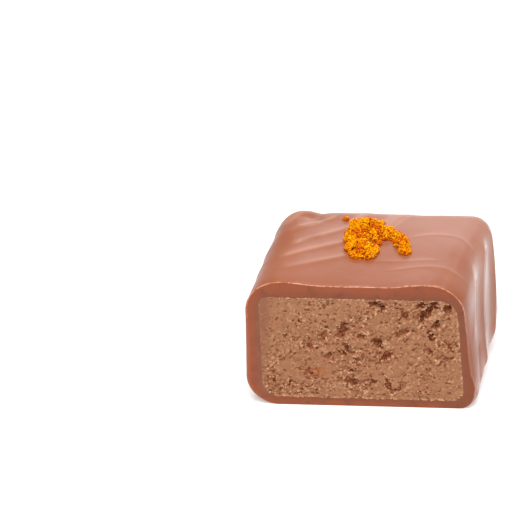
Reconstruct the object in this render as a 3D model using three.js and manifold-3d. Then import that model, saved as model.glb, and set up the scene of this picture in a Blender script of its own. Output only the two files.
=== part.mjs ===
// A milk chocolate bonbon, cut across so that its praline filling shows. The coating is one solid: a
// shell with a flat underside, open at the cut, with soft ripples on its top and right side and crumbs
// of candied zest stuck on top. The filling is a second solid that runs from the cut to the far wall,
// with cavities in its cut face. Millimetres, Z up: x runs along the cut face and y from the cut to the
// far end, and sizes are measured from the foot of the left wall at the cut. The group then puts the
// origin at the middle of the underside.
import * as THREE from "three";
import { mergeVertices } from "three/addons/utils/BufferGeometryUtils.js";
import Module from "manifold-3d";

// ---- Driving sizes of the coating ----
const height = 17.4; // underside to the top's shoulders
const depth = 19.9; // cut face to far end
const farTilt = 0.02; // the far end comes forward by this much for each millimetre to the right
const middle = 16; // where the far end's tilt turns

// Where each side wall meets the levels of the underside (foot) and the top (head), before the corners
// are rounded.
const cutWalls = { left: { foot: 0.2, head: 0.1 }, right: { foot: 28.3, head: 25.9 } };
const farWalls = { left: { foot: 3.6, head: 3.9 }, right: { foot: 33.0, head: 30.5 } };
const cutCorners = { footLeft: 4.0, footRight: 1.6, headRight: 4.7, headLeft: 4.0 }; // corner radii
const farCorners = { footLeft: 3.2, footRight: 4.0, headRight: 3.0, headLeft: 3.2 };
const leastRadius = 0.5; // of a corner, once its section is moved in
const farEdge = 2.4; // radius between the far end and the other walls
const farCrown = 0.3; // how far the middle of the far end swells

// The top dips between two shoulders, which lie further right at the far end.
const sag = { deep: 0.37, from: 4.2, full: 10, until: 16.8, to: 21, drift: 4.4, farShare: 0.3 };
// The right wall swells above its foot. The knife has drawn it in at the cut.
const flare = {
  atCut: { out: 0.35, level: 3.2, spread: 1.3 },
  behind: { out: 0.7, level: 1.2, spread: 4.0, reach: 11 },
  within: 1.0,
};

// ---- Ripples that the coating set with ----
// Each is a rounded ridge between two points, or a furrow where its rise is negative, bowed sideways.
const topRipples = [
  { from: [3.9, 3.0], to: [12.6, 7.7], bow: 0.1, rise: 0.2, spread: 0.75 },
  { from: [3.4, 5.7], to: [13.2, 11.6], bow: 0.1, rise: 0.2, spread: 0.75 },
  { from: [5.0, 9.0], to: [13.4, 15.2], bow: 0.1, rise: 0.2, spread: 0.75 },
  { from: [3.8, 12.8], to: [11.2, 17.6], bow: -0.6, rise: 0.16, spread: 0.7 },
  { from: [3.6, 15.4], to: [8.4, 18.8], bow: 0.3, rise: 0.14, spread: 1.3 },
  { from: [7.6, 15.4], to: [9.8, 21.0], bow: 0, rise: -0.3, spread: 1.1 },
  { from: [15.2, 6.0], to: [23.6, 6.2], bow: 0.3, rise: 0.12, spread: 0.6 },
  { from: [16.7, 3.9], to: [27.0, 3.6], bow: 0.9, rise: 0.12, spread: 0.6 },
  { from: [19.2, 11.8], to: [28.6, 10.0], bow: 1.9, rise: 0.16, spread: 0.7 },
  { from: [16.6, 13.6], to: [21.8, 21.0], bow: 0.3, rise: 0.2, spread: 0.9 },
  { from: [13.0, 15.4], to: [16.6, 21.0], bow: 0.2, rise: 0.22, spread: 0.9 },
];
// The same on the right wall, in y and z.
const sideRipples = [
  { from: [1.9, -0.6], to: [5.2, 6.4], bow: 0, rise: -0.4, spread: 0.9 },
  { from: [1.6, 1.6], to: [13.4, 15.6], bow: 0.3, rise: 0.22, spread: 0.9 },
  { from: [4.4, 1.0], to: [20.4, 16.2], bow: -0.9, rise: 0.3, spread: 1.0 },
  { from: [13.0, 0.6], to: [20.6, 8.4], bow: 0.3, rise: 0.26, spread: 1.0 },
];
// They fade in behind the cut and out at the far end, and lie only where the surface faces their way.
const rippleFade = { atCut: 1.2, atEnd: 0.6 };
const facingUp = [0.35, 0.95];
const facingRight = [0.5, 0.95];
const facingOut = [-0.3, 0.6]; // the flare's

// ---- The filling ----
// The chocolate round the filling. A side wall's is measured along x, at its foot and its head.
const wall = {
  left: { foot: 2.2, head: 1.5 }, right: { foot: 1.25, head: 0.85 },
  foot: 1.2, head: 2.2, far: 1.7,
};
const fillingCorners = { footLeft: 2.2, footRight: 1.4, headRight: 2.3, headLeft: 1.0 };
const fillingBevel = 0.8; // at its far end
const clearance = 0.15; // between the coating and the filling
const faceRim = 0.1; // how far the rim of the cut face lies behind the cut

// Cavities in the cut face that can be told apart: x, z, radius and depth.
const cavities = [
  [21.9, 13.3, 0.9, 1.1], [23.1, 14.4, 0.8, 0.9], [21.2, 14.6, 0.6, 0.8], [24.4, 14.0, 0.5, 0.8],
  [23.2, 12.1, 0.5, 0.7], [22.9, 10.6, 0.4, 0.5], [15.7, 14.6, 0.5, 0.6], [16.3, 9.2, 0.6, 0.9],
  [17.0, 7.1, 0.6, 0.7], [13.6, 6.6, 0.5, 0.6], [13.7, 3.8, 0.7, 0.6], [15.6, 3.5, 0.6, 0.6],
  [17.9, 3.0, 0.6, 0.8], [12.3, 8.0, 0.6, 0.7], [11.8, 11.0, 0.6, 0.6], [10.0, 7.3, 0.4, 0.5],
  [3.6, 3.4, 0.4, 0.6], [22.6, 8.2, 0.5, 0.4], [8.0, 8.8, 0.5, 0.3],
];
// Smaller ones, strewn at random over the face. Radius and depth vary by the given shares.
const pocks = {
  count: 60, seed: 21, across: [2.8, 26.8], up: [1.6, 14.9],
  radius: 0.42, radii: [0.7, 1.3], deep: 0.32, depths: [0.4, 1.4],
};
const crag = { deep: 0.09, wave: 1.2, twist: 3.7 }; // waves of roughness over the whole face

// ---- Zest ----
// Clumps of crumbs on the top: x, y, radius and height.
const clumps = [
  [13.2, 9.4, 1.35, 1.1], [14.6, 7.9, 1.25, 0.95], [14.2, 9.6, 1.0, 0.9], [12.9, 11.2, 0.95, 0.9],
  [13.0, 12.7, 1.05, 0.85], [14.0, 11.3, 0.9, 0.8], [13.7, 14.0, 1.0, 0.75], [15.1, 14.2, 1.05, 0.75],
  [14.5, 12.6, 0.95, 0.8], [15.8, 9.3, 0.7, 0.75], [15.6, 12.4, 0.8, 0.65], [16.9, 12.7, 0.95, 0.8],
  [18.1, 12.4, 0.85, 0.6], [19.0, 11.6, 0.85, 0.65], [19.2, 10.2, 0.9, 0.85], [19.5, 8.8, 0.8, 0.6],
  [12.0, 16.2, 0.4, 0.35], [16.7, 15.2, 0.4, 0.3],
];
const unevenness = 0.16; // of a clump's radius
// Loose crumbs on the clumps: their radii, and how high on a clump they lie, as shares of its height.
const crumbs = { count: 46, radii: [0.26, 0.38], levels: [0.15, 0.9], seed: 7 };

// ---- How finely the surfaces are divided ----
const steps = {
  foot: 3, side: 9, head: 22, corner: 6, // round a section, for each stretch of it
  along: 25, edge: 4, end: 3, // from the cut to the far end, round its edge and over it
  across: 58, up: 30, // the filling's cut face
  crowding: 0.09, // how much closer its rows lie at the foot and the head, where it is round
};

// ---- Small tools ----
const hair = 1e-3; // a distance that doesn't show
const mix = (a, b, share) => a + (b - a) * share;
const smooth = (low, high, value) => THREE.MathUtils.smoothstep(value, low, high);
const bell = (value) => Math.exp(-value * value);
const between = ([low, high], share) => mix(low, high, share);
const middleOf = (points) =>
  points.reduce((sum, p) => sum.add(p), new THREE.Vector3()).divideScalar(points.length);

// Mulberry32, a small generator that gives the same numbers every time.
function randomFrom(seed) {
  let state = seed;
  return () => {
    state = (state + 0x6d2b79f5) | 0;
    let t = Math.imul(state ^ (state >>> 15), 1 | state);
    t = (t + Math.imul(t ^ (t >>> 7), 61 | t)) ^ t;
    return ((t ^ (t >>> 14)) >>> 0) / 2 ** 32;
  };
}

// A ridge's height at (p, q): a bell across its line, which is bowed as a parabola and fades out at both
// ends. share is how far along it the point lies.
function ridgeHeight({ from, to, bow, rise, spread }, p, q) {
  const line = new THREE.Vector2(to[0] - from[0], to[1] - from[1]);
  const length = line.length();
  line.normalize();
  const share = ((p - from[0]) * line.x + (q - from[1]) * line.y) / length;
  const sideways = (q - from[1]) * line.x - (p - from[0]) * line.y;
  const fade = smooth(-0.05, 0.2, share) * (1 - smooth(0.8, 1.05, share));
  return rise * fade * bell((sideways - bow * 4 * share * (1 - share)) / spread);
}

const rippleHeight = (ripples, p, q) =>
  ripples.reduce((sum, ripple) => sum + ridgeHeight(ripple, p, q), 0);

// ---- Sections across the bonbon ----
// The outline between two leaning walls and two levels, with round corners. Its points start at the
// left end of the underside and go round by the right. Every outline has as many points, so that
// sections join point by point.
function outline({ left, right, foot, head, corners }) {
  const xAt = (side, z) => mix(side.foot, side.head, z / height);
  const sharp = [
    new THREE.Vector2(xAt(left, foot), foot),
    new THREE.Vector2(xAt(right, foot), foot),
    new THREE.Vector2(xAt(right, head), head),
    new THREE.Vector2(xAt(left, head), head),
  ];
  const radii = [corners.footLeft, corners.footRight, corners.headRight, corners.headLeft];
  const arcs = sharp.map((corner, i) => {
    const before = sharp[(i + 3) % 4].clone().sub(corner).normalize();
    const after = sharp[(i + 1) % 4].clone().sub(corner).normalize();
    const half = Math.acos(before.dot(after)) / 2;
    const inward = before.clone().add(after).normalize();
    const centre = corner.clone().addScaledVector(inward, radii[i] / Math.sin(half));
    return {
      start: corner.clone().addScaledVector(before, radii[i] / Math.tan(half)),
      end: corner.clone().addScaledVector(after, radii[i] / Math.tan(half)),
      centre,
      radius: radii[i],
    };
  });
  return arcs.flatMap((arc, i) => {
    const next = arcs[(i + 1) % 4];
    const count = [steps.foot, steps.side, steps.head, steps.side][i];
    const straight = Array.from({ length: count }, (_, k) => arc.end.clone().lerp(next.start, k / count));
    const first = next.start.clone().sub(next.centre).angle();
    const last = next.end.clone().sub(next.centre).angle();
    const turn = THREE.MathUtils.euclideanModulo(last - first, 2 * Math.PI);
    const round = Array.from({ length: steps.corner }, (_, k) => {
      const angle = first + (turn * k) / steps.corner;
      const spoke = new THREE.Vector2(Math.cos(angle), Math.sin(angle)).multiplyScalar(next.radius);
      return spoke.add(next.centre);
    });
    return [...straight, ...round];
  });
}

const mixSides = (a, b, share) => ({ foot: mix(a.foot, b.foot, share), head: mix(a.head, b.head, share) });

// The coating's outside at y, moved in evenly.
function outsideOutline(y, inset) {
  const share = Math.min(y / depth, 1);
  const left = mixSides(cutWalls.left, farWalls.left, share);
  const right = mixSides(cutWalls.right, farWalls.right, share);
  const corners = Object.fromEntries(Object.keys(cutCorners).map((name) =>
    [name, Math.max(mix(cutCorners[name], farCorners[name], share) - inset, leastRadius)]));
  return outline({
    left: { foot: left.foot + inset, head: left.head + inset },
    right: { foot: right.foot - inset, head: right.head - inset },
    foot: inset,
    head: height - inset,
    corners,
  });
}

// The filling's outline at y, or that of the hollow it fills, moved in by spare.
function fillingOutline(y, spare) {
  const share = y / depth;
  const left = mixSides(cutWalls.left, farWalls.left, share);
  const right = mixSides(cutWalls.right, farWalls.right, share);
  return outline({
    left: { foot: left.foot + wall.left.foot + spare, head: left.head + wall.left.head + spare },
    right: { foot: right.foot - wall.right.foot - spare, head: right.head - wall.right.head - spare },
    foot: wall.foot + spare,
    head: height - wall.head - spare,
    corners: fillingCorners,
  });
}

// A section's point in space: y leans with the far end's tilt.
const placed = (x, y, z) => new THREE.Vector3(x, y - farTilt * (x - middle) * (y / depth), z);

// ---- Closed surfaces from rings ----
// Rings of equally many points are joined in order, from the far end to the cut, and both ends close
// on a point.
function closedFromRings(rings, firstPoint, lastPoint) {
  const n = rings[0].length;
  const positions = [firstPoint, ...rings.flat(), lastPoint];
  const at = (ring, k) => 1 + ring * n + (k % n);
  const faces = [];
  for (let k = 0; k < n; k++) {
    faces.push(0, at(0, k + 1), at(0, k));
    for (let ring = 0; ring + 1 < rings.length; ring++) {
      faces.push(at(ring, k), at(ring, k + 1), at(ring + 1, k + 1));
      faces.push(at(ring, k), at(ring + 1, k + 1), at(ring + 1, k));
    }
    faces.push(positions.length - 1, at(rings.length - 1, k), at(rings.length - 1, k + 1));
  }
  return { positions, faces };
}

// ---- The coating ----
function sagAt(x, y) {
  const share = y / depth;
  const near = x - sag.drift * share;
  const dip = smooth(sag.from, sag.full, near) * (1 - smooth(sag.until, sag.to, near));
  return sag.deep * dip * mix(1, sag.farShare, share);
}

function flareAt(y, z) {
  const behind = smooth(0, flare.within, y);
  const { atCut, behind: body } = flare;
  const near = atCut.out * bell((z - atCut.level) / atCut.spread);
  const far = body.out * bell((z - body.level) / body.spread) * bell(y / body.reach);
  return mix(near, far, behind);
}

// A point of the outside, with the sag, the flare and the ripples. Its neighbours say which way it faces.
function shaped(point, y, before, after) {
  const facing = new THREE.Vector2(after.y - before.y, before.x - after.x).normalize();
  const { atCut, atEnd } = rippleFade;
  const rippled = smooth(0, atCut, y) * (1 - smooth(depth - atEnd, depth + atEnd, y));
  const lift = rippleHeight(topRipples, point.x, y) * rippled - sagAt(point.x, y);
  const push = rippleHeight(sideRipples, y, point.y) * rippled;
  const up = smooth(...facingUp, facing.y) * lift;
  const swell = smooth(...facingOut, facing.x) * flareAt(y, point.y);
  const right = smooth(...facingRight, facing.x) * push;
  return placed(point.x + swell + right, y, point.y + up);
}

function outsideRing(y, inset) {
  const points = outsideOutline(y, inset);
  const n = points.length;
  return points.map((point, k) => shaped(point, y, points[(k + n - 1) % n], points[(k + 1) % n]));
}

// The shell: over the far end and its round edge, along to the cut, then into the hollow and up to its
// far wall.
function coatingShell() {
  const endRing = outsideRing(depth, farEdge);
  const endMiddle = middleOf(endRing);
  const swell = (share) => new THREE.Vector3(0, farCrown * (1 - share ** 2), 0);
  const over = Array.from({ length: steps.end - 1 }, (_, k) => {
    const share = (k + 1) / steps.end;
    return endRing.map((point) => endMiddle.clone().lerp(point, share).add(swell(share)));
  });
  const round = Array.from({ length: steps.edge }, (_, k) => {
    const turn = (1 - k / steps.edge) * (Math.PI / 2);
    return outsideRing(depth - farEdge * (1 - Math.sin(turn)), farEdge * (1 - Math.cos(turn)));
  });
  const along = Array.from({ length: steps.along + 1 }, (_, k) =>
    outsideRing((depth - farEdge) * (1 - k / steps.along), 0));
  const hollowEnd = depth - wall.far;
  const stations = [[0, 0], [hollowEnd / 2, 0], [hollowEnd - fillingBevel, 0], [hollowEnd, fillingBevel]];
  const hollow = stations.map(([y, spare]) => fillingOutline(y, spare).map((p) => placed(p.x, y, p.y)));
  const rings = [...over, ...round, ...along, ...hollow];
  return closedFromRings(rings, endMiddle.clone().add(swell(0)), middleOf(hollow.at(-1)));
}

// ---- Zest ----
// An icosahedron with uneven corners, turned at random, squashed to the given height and put in its place.
function lump(random, detail, uneven, centre, radius, tall) {
  const geometry = new THREE.IcosahedronGeometry(1, detail);
  geometry.deleteAttribute("normal");
  geometry.deleteAttribute("uv");
  const merged = mergeVertices(geometry, hair);
  const position = merged.getAttribute("position");
  for (let i = 0; i < position.count; i++) {
    const corner = new THREE.Vector3().fromBufferAttribute(position, i);
    corner.multiplyScalar(1 + uneven * (2 * random() - 1));
    position.setXYZ(i, ...corner);
  }
  const angles = [random(), random(), random()].map((share) => share * 2 * Math.PI);
  merged.applyMatrix4(new THREE.Matrix4().makeRotationFromEuler(new THREE.Euler(...angles)));
  merged.scale(radius, radius, tall);
  merged.translate(centre.x, centre.y, centre.z);
  return merged;
}

// The coating's top under (x, y).
const topAt = (x, y) => height - sagAt(x, y) + rippleHeight(topRipples, x, y);

// The clumps, and loose crumbs on them: each clump gets its share of the crumbs by its size.
function zestLumps() {
  const random = randomFrom(crumbs.seed);
  const total = clumps.reduce((sum, [, , radius]) => sum + radius ** 2, 0);
  return clumps.flatMap(([x, y, radius, tall]) => {
    const level = topAt(x, y);
    const clump = lump(random, 1, unevenness, new THREE.Vector3(x, y, level), radius, tall);
    const loose = Array.from({ length: Math.round((crumbs.count * radius ** 2) / total) }, () => {
      const direction = 2 * Math.PI * random();
      const lean = Math.acos(between(crumbs.levels, random()));
      const size = between(crumbs.radii, random());
      const spot = new THREE.Vector3(
        x + radius * Math.sin(lean) * Math.cos(direction),
        y + radius * Math.sin(lean) * Math.sin(direction),
        level + tall * Math.cos(lean));
      return lump(random, 0, unevenness, spot, size, size);
    });
    return [clump, ...loose];
  });
}

// ---- The filling ----
// How far the cut face lies behind the cut at (x, z): its deepest cavity there, and the crags.
function faceRelief() {
  const random = randomFrom(pocks.seed);
  const strewn = Array.from({ length: pocks.count }, () => [
    between(pocks.across, random()), between(pocks.up, random()),
    pocks.radius * between(pocks.radii, random()), pocks.deep * between(pocks.depths, random()),
  ]);
  const holes = [...cavities, ...strewn];
  const wave = (p, q) => Math.sin((2 * Math.PI * p) / crag.wave + Math.sin(q * crag.twist));
  return (x, z) => {
    const hollow = holes.reduce((deepest, [px, pz, radius, deep]) =>
      Math.max(deepest, deep * bell(((x - px) ** 2 + (z - pz) ** 2) / radius ** 2)), 0);
    return hollow + crag.deep * (1 + wave(x, z) * wave(z, x));
  };
}

// The point that lies at shares of the way across and up inside a ring's outline.
function pointAcross(ring, across, up) {
  const levels = ring.map((p) => p.y);
  const [low, high] = [Math.min(...levels) + hair, Math.max(...levels) - hair];
  const z = mix(low, high, up - Math.sin(2 * Math.PI * up) * steps.crowding);
  const crossings = ring.flatMap((p, k) => {
    const q = ring[(k + 1) % ring.length];
    return (p.y - z) * (q.y - z) < 0 ? [mix(p.x, q.x, (z - p.y) / (q.y - p.y))] : [];
  });
  return new THREE.Vector2(mix(Math.min(...crossings), Math.max(...crossings), across), z);
}

// The cut face is a grid of rows. Its rim is carried back to the far wall, where a fan closes it.
function fillingSolid() {
  const relief = faceRelief();
  const cutRing = fillingOutline(0, clearance);
  const at = (i, j) => j * (steps.across + 1) + i;
  const positions = [];
  for (let j = 0; j <= steps.up; j++) {
    for (let i = 0; i <= steps.across; i++) {
      const { x, y: z } = pointAcross(cutRing, i / steps.across, j / steps.up);
      const onRim = i === 0 || i === steps.across || j === 0 || j === steps.up;
      positions.push(new THREE.Vector3(x, onRim ? faceRim : relief(x, z), z));
    }
  }
  const faces = [];
  for (let j = 0; j < steps.up; j++) {
    for (let i = 0; i < steps.across; i++) {
      faces.push(at(i, j), at(i + 1, j), at(i + 1, j + 1), at(i, j), at(i + 1, j + 1), at(i, j + 1));
    }
  }

  const rim = [];
  for (let i = 0; i < steps.across; i++) rim.push([i, 0]);
  for (let j = 0; j < steps.up; j++) rim.push([steps.across, j]);
  for (let i = steps.across; i > 0; i--) rim.push([i, steps.up]);
  for (let j = steps.up; j > 0; j--) rim.push([0, j]);
  const end = depth - wall.far - clearance;
  let previous = rim.map(([i, j]) => at(i, j));
  for (const [y, spare] of [[end - fillingBevel, clearance], [end, clearance + fillingBevel]]) {
    const ring = fillingOutline(y, spare);
    const current = rim.map(([i, j]) => {
      const { x, y: z } = pointAcross(ring, i / steps.across, j / steps.up);
      return positions.push(placed(x, y, z)) - 1;
    });
    previous.forEach((k, i) => {
      const next = (i + 1) % rim.length;
      faces.push(k, current[next], previous[next], k, current[i], current[next]);
    });
    previous = current;
  }
  const endMiddle = positions.push(middleOf(previous.map((k) => positions[k]))) - 1;
  previous.forEach((k, i) => faces.push(endMiddle, previous[(i + 1) % rim.length], k));
  return { positions, faces };
}

// ---- Assembly ----
const wasm = await Module();
wasm.setup();

const geometryOf = (positions, faces) =>
  new THREE.BufferGeometry()
    .setAttribute("position", new THREE.BufferAttribute(new Float32Array(positions), 3))
    .setIndex(new THREE.BufferAttribute(new Uint32Array(faces), 1));
const solidOf = (geometry) =>
  new wasm.Manifold(new wasm.Mesh({
    numProp: 3,
    vertProperties: geometry.getAttribute("position").array,
    triVerts: new Uint32Array(geometry.index.array),
  }));
const flat = (points) => points.flatMap((p) => [p.x, p.y, p.z]);

// The shell with the zest joined to it. Only the largest body is kept: that drops loose scraps, and
// fills the hollows that crumbs have sealed between them.
function coatingGeometry() {
  const shell = coatingShell();
  const start = solidOf(geometryOf(flat(shell.positions), shell.faces));
  const joined = zestLumps().reduce((whole, one) => whole.add(solidOf(one)), start);
  const largest = joined.decompose().sort((a, b) => b.volume() - a.volume())[0];
  const { vertProperties, triVerts } = largest.getMesh();
  return geometryOf(vertProperties, triVerts);
}

function fillingGeometry() {
  const { positions, faces } = fillingSolid();
  return geometryOf(flat(positions), faces);
}

const milkChocolate = new THREE.MeshStandardMaterial({ color: 0xbb7a60, roughness: 0.35, metalness: 0 });
const praline = new THREE.MeshStandardMaterial({ color: 0xa97555, roughness: 0.85, metalness: 0 });

const coating = new THREE.Mesh(coatingGeometry(), milkChocolate);
coating.name = "coating";
const filling = new THREE.Mesh(fillingGeometry(), praline);
filling.name = "filling";

const bonbon = new THREE.Group();
bonbon.add(coating, filling);
const centre = new THREE.Box3().setFromObject(coating).getCenter(new THREE.Vector3());
bonbon.position.set(-centre.x, -centre.y, 0);

export default bonbon;
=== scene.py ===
# A milk chocolate bonbon, cut across: a rippled coating, a crumbly praline filling and candied zest.
# Shapes are worked out in millimetres, x along the cut, y from the cut to the far end and z up, measured
# from the foot of the left wall at the cut. place() then moves them to where the frame has the solids.
import itertools
import math
import bpy
import numpy as np
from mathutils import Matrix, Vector


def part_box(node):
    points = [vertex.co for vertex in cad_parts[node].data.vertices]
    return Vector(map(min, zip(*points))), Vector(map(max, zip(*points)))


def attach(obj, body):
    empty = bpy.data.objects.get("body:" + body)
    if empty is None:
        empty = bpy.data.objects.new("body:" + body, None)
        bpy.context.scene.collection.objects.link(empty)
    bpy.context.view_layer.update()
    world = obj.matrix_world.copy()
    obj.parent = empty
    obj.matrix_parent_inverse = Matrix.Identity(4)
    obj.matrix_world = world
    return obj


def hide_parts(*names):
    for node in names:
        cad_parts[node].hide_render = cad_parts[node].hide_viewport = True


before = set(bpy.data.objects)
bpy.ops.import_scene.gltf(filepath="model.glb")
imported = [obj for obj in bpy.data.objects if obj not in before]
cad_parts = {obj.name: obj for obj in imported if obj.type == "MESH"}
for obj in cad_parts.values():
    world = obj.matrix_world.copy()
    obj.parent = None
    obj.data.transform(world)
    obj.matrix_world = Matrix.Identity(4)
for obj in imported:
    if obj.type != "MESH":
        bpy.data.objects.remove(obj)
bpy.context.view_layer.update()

mm = 0.001

# The outside of the bonbon. A wall is given where it meets the underside (foot) and the top (head).
body = {
    "height": 17.4, "depth": 19.9,
    "farTilt": 0.02, "middle": 16.0,  # the far end comes forward to the right of the middle
    "cutLeft": (0.2, 0.1), "cutRight": (28.3, 25.9),
    "farLeft": (3.6, 3.9), "farRight": (33.0, 30.5),
    "cutRadii": (4.0, 1.6, 4.7, 4.0),  # foot left, foot right, head right, head left
    "farRadii": (3.2, 4.0, 2.3, 3.2),
    "leastRadius": 0.5,
    "farEdge": 2.4, "farCrown": 0.3,
    "sagDepth": 0.37, "sagLeft": (4.2, 10.0), "sagRight": (16.8, 21.0), "sagDrift": 4.4, "sagFarShare": 0.3,
    "flareAtCut": (0.35, 3.2, 1.3),  # how far out, at what level, how wide
    "flareBehind": (0.2, 1.2, 4.0), "flareReach": 11.0, "flareWithin": 1.0,
    "rippleIn": 2.0, "rippleOut": 0.6,
    "bulge": 0.42, "bulgeRise": 0.8, "bulgeBack": (2.5, 8.5), "bulgeLevels": (-4.0, 3.0),
    "facingUp": (0.35, 0.95), "facingRight": (0.4, 0.95), "facingOut": (-0.3, 0.6),
    "rollOff": 0.06, "rollReach": 2.6,  # the top falls a little towards the cut
    "dents": 0.05, "dentSize": 5.0, "dimples": 0.012, "dimpleSize": 1.5, "flatFoot": (-0.95, -0.4),
}
# Points in each straight stretch of an outline and in each arc, and rings in each part of the path.
coatingSteps = {
    "outline": (40, 64, 168, 64), "arc": 20, "along": 130, "edge": 12, "end": 24, "lip": 5, "face": 16,
}

# Ripples: from, to, bow, rise, then how wide the near and the far slope are and how round the crest is.
# Those of the top are in x and y, those of the side walls in z and y, and those of the far end in x and z.
topRipples = [
    ((3.9, 3.0), (12.6, 7.7), 0.1, 0.11, 0.4, 1.3, 0.15),
    ((3.4, 5.7), (13.2, 11.6), 0.1, 0.11, 0.4, 1.3, 0.15),
    ((5.0, 9.0), (13.4, 15.2), 0.1, 0.11, 0.4, 1.3, 0.15),
    ((3.8, 12.8), (11.2, 17.6), -0.6, 0.14, 0.4, 0.8, 0.2),
    ((3.6, 15.4), (8.4, 18.8), 0.3, 0.14, 0.65, 0.65, 1.3),
    ((7.6, 15.4), (9.8, 21.0), 0.0, -0.3, 0.55, 0.55, 1.1),
    ((15.2, 6.0), (23.6, 6.2), 0.3, 0.03, 0.3, 0.5, 0.15),
    ((16.7, 3.9), (27.0, 3.6), 0.9, 0.03, 0.3, 0.5, 0.15),
    ((19.2, 11.8), (28.6, 10.0), 1.9, 0.035, 0.3, 0.6, 0.15),
    ((16.6, 13.6), (21.8, 21.0), 0.3, 0.1, 0.5, 0.9, 0.3),
    ((13.0, 15.4), (16.6, 21.0), 0.2, 0.12, 0.5, 0.9, 0.3),
]
sideRipples = [
    ((-0.6, 1.9), (6.4, 5.2), 0.0, -0.4, 0.45, 0.45, 0.9),
    ((7.6, 0.5), (17.4, 9.8), -1.3, 0.2, 0.8, 1.2, 0.3),
    ((-1.0, 8.2), (18.0, 15.8), -3.35, 0.38, 0.9, 1.5, 0.2),
    ((1.0, 11.7), (17.0, 16.7), 2.3, 0.42, 0.8, 1.6, 0.2),
]
leftRipples = [
    ((1.5, 3.2), (16.4, 6.8), -0.8, 0.12, 0.9, 1.6, 0.3),
    ((0.5, 8.4), (17.2, 11.2), -1.1, 0.16, 0.9, 1.8, 0.3),
    ((3.5, 14.6), (16.5, 16.0), 0.7, 0.14, 0.8, 1.5, 0.3),
]
farRipples = [
    ((6.4, 2.0), (11.5, 16.4), 1.0, 0.15, 1.0, 2.2, 0.4),
    ((14.5, 1.0), (18.0, 17.0), -1.3, 0.18, 1.1, 2.4, 0.4),
    ((23.0, 3.0), (26.5, 15.5), 0.8, 0.15, 1.0, 2.0, 0.4),
]
rippleEnds = ((-0.05, 0.2), (0.86, 1.12))  # where a ripple fades in and out, as shares of its length


# From a at share 0 to b at share 1, in a straight line.
def mix(a, b, share):
    return a + (b - a) * share


# Rises from 0 at low to 1 at high along a cubic that is level at both ends. It falls if low is the larger.
def smooth(low, high, value):
    share = np.clip((value - low) / (high - low), 0, 1)
    return share * share * (3 - 2 * share)


# The bell curve: 1 at 0, and e to the power of minus the square elsewhere.
def bell(value):
    return np.exp(-value * value)


# Vectors over their own lengths.
def unit(vectors):
    return vectors / np.maximum(np.linalg.norm(vectors, axis=-1, keepdims=True), 1e-9)


# A number from 0 to 1 for each lattice cell: its whole numbers times large primes, with the bits stirred.
def hashed(cell, seed):
    primes = np.array([73856093, 19349663, 83492791], np.uint64)
    bits = (cell.astype(np.int64).astype(np.uint64) * primes[:cell.shape[-1]]).sum(-1)
    bits = bits + np.uint64(seed * 2654435761)
    for shift in (13, 17, 11):
        bits = (bits ^ (bits >> np.uint64(shift))) * np.uint64(1274126177)
    return ((bits >> np.uint64(20)) & np.uint64(0xffffff)).astype(float) / 0xffffff


# Value noise from -1 to 1: the numbers at a cell's corners, blended smoothly inside it.
def noise(points, size, seed):
    scaled = points / size
    cell = np.floor(scaled)
    share = smooth(0, 1, scaled - cell)
    total = 0
    for corner in itertools.product((0, 1), repeat=points.shape[-1]):
        weight = np.prod(np.where(np.array(corner), share, 1 - share), axis=-1)
        total = total + weight * hashed(cell + np.array(corner), seed)
    return 2 * total - 1


# Noise with finer and weaker layers on it, each half the size of the one before.
def layered(points, size, seed, layers=3, keep=0.5):
    total = sum(noise(points, size / 2 ** k, seed + k) * keep ** k for k in range(layers))
    return total / sum(keep ** k for k in range(layers))


# Grains strewn one to a cell, in cells: how far the nearest one is, how much further the next one is, the
# nearest one's own number, and its place in mm.
def strewn(points, size, seed, jitter=0.9):
    scaled = points / size
    cell = np.floor(scaled)
    nearest = np.full(points.shape[:-1], 9.0)
    second = nearest.copy()
    mark = np.zeros(points.shape[:-1])
    site = np.zeros(points.shape)
    for step in itertools.product((-1, 0, 1), repeat=2):
        other = cell + np.array(step)
        offset = np.stack([hashed(other, seed), hashed(other, seed + 1)], axis=-1) - 0.5
        place = other + 0.5 + jitter * offset
        distance = np.linalg.norm(place - scaled, axis=-1)
        closer = distance < nearest
        second = np.where(closer, nearest, np.minimum(second, distance))
        mark = np.where(closer, hashed(other, seed + 2), mark)
        site = np.where(closer[:, None], place * size, site)
        nearest = np.where(closer, distance, nearest)
    return nearest, second - nearest, mark, site


# Outlines between two leaning walls with round corners, one for each row of the arrays. Each is a straight
# stretch and an arc in turn, and starts at the left end of the underside.
def outlines(left, right, foot, head, radii, steps):
    def wallAt(wall, level):
        return mix(wall[..., 0], wall[..., 1], level / body["height"])
    sharp = np.stack([
        np.stack([wallAt(left, foot), foot], -1), np.stack([wallAt(right, foot), foot], -1),
        np.stack([wallAt(right, head), head], -1), np.stack([wallAt(left, head), head], -1)], axis=1)
    before = unit(np.roll(sharp, 1, axis=1) - sharp)
    after = unit(np.roll(sharp, -1, axis=1) - sharp)
    half = np.arccos((before * after).sum(-1, keepdims=True)) / 2
    radius = radii[..., None]
    centre = sharp + unit(before + after) * radius / np.sin(half)
    start = sharp + before * radius / np.tan(half)
    end = sharp + after * radius / np.tan(half)
    parts = []
    for i, count in enumerate(steps["outline"]):
        j = (i + 1) % 4
        share = (np.arange(count) / count)[None, :, None]
        parts.append(mix(end[:, None, i], start[:, None, j], share))
        spoke = start[:, j] - centre[:, j]
        first = np.arctan2(spoke[:, 1], spoke[:, 0])
        spoke = end[:, j] - centre[:, j]
        turn = (np.arctan2(spoke[:, 1], spoke[:, 0]) - first) % (2 * math.pi)
        angle = first[:, None] + turn[:, None] * np.arange(steps["arc"]) / steps["arc"]
        arc = np.stack([np.cos(angle), np.sin(angle)], -1) * radius[:, None, j]
        parts.append(arc + centre[:, None, j])
    return np.concatenate(parts, axis=1)


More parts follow.
